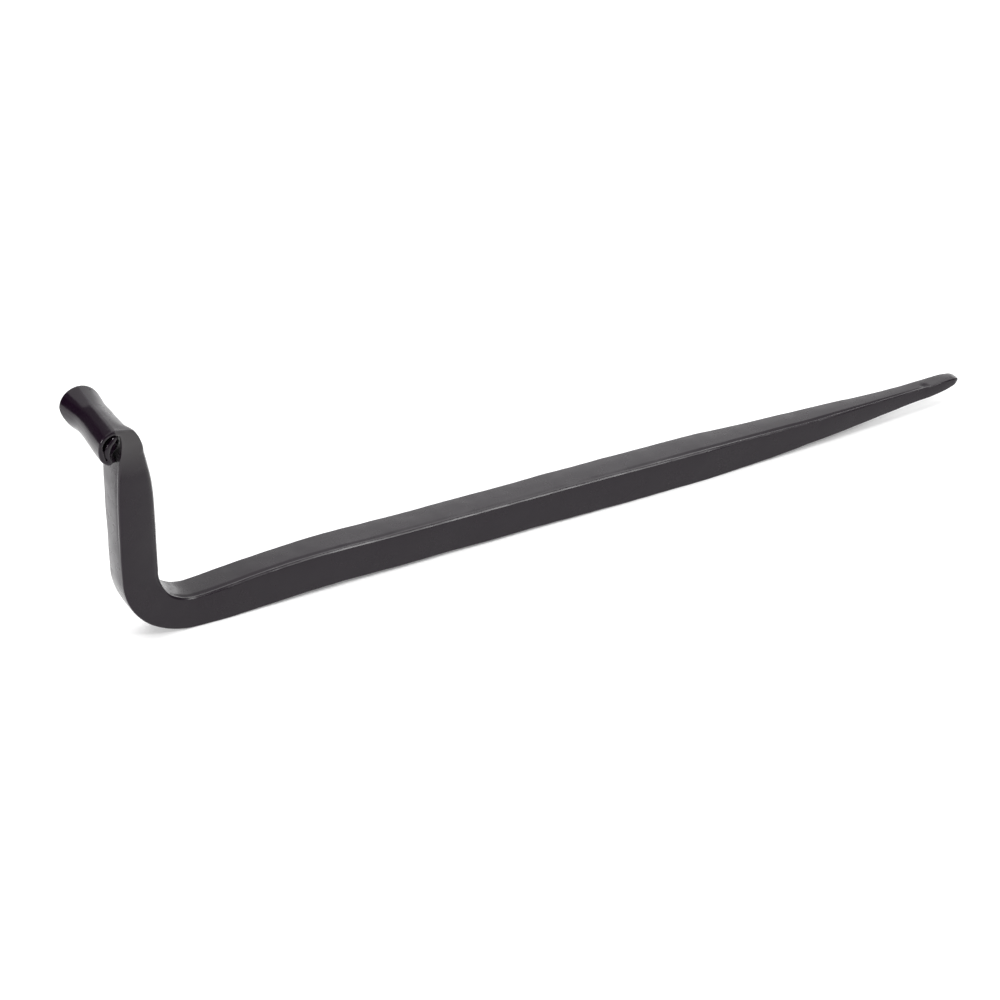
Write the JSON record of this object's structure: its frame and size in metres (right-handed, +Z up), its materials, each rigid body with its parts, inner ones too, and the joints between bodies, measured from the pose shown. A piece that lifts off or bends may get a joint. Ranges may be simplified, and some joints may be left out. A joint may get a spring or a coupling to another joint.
{
  "type": "forged drive-in hook",
  "caption": "Hand-forged L-shaped hook of square bar: a long arm drawn to a driving spike, a short arm thinned, spread to one side and rolled outwards into a tight scroll.",
  "frame": {"origin": "middle of the long arm's flat underside, on the middle plane of the bar", "axes": "+X along the long arm towards the point, +Z up the short arm, +Y across the bar towards the overhanging end of the scroll"},
  "size_m": [0.2781, 0.026, 0.0705],
  "materials": {
    "satin_black": "satin black coat sprayed over forged steel",
    "gloss_black": "the same black coat where it has flowed out glossy on the thin rolled end"
  },
  "bodies": {
    "root": {"spike_point": "satin_black", "spike_taper": "satin_black", "long_arm": "satin_black", "heel_bend": "satin_black", "short_arm": "satin_black", "drawn_neck": "satin_black", "spread_sheet": "gloss_black", "scroll_wrap": "gloss_black", "scroll_tongue": "gloss_black"}
  },
  "joints": []
}
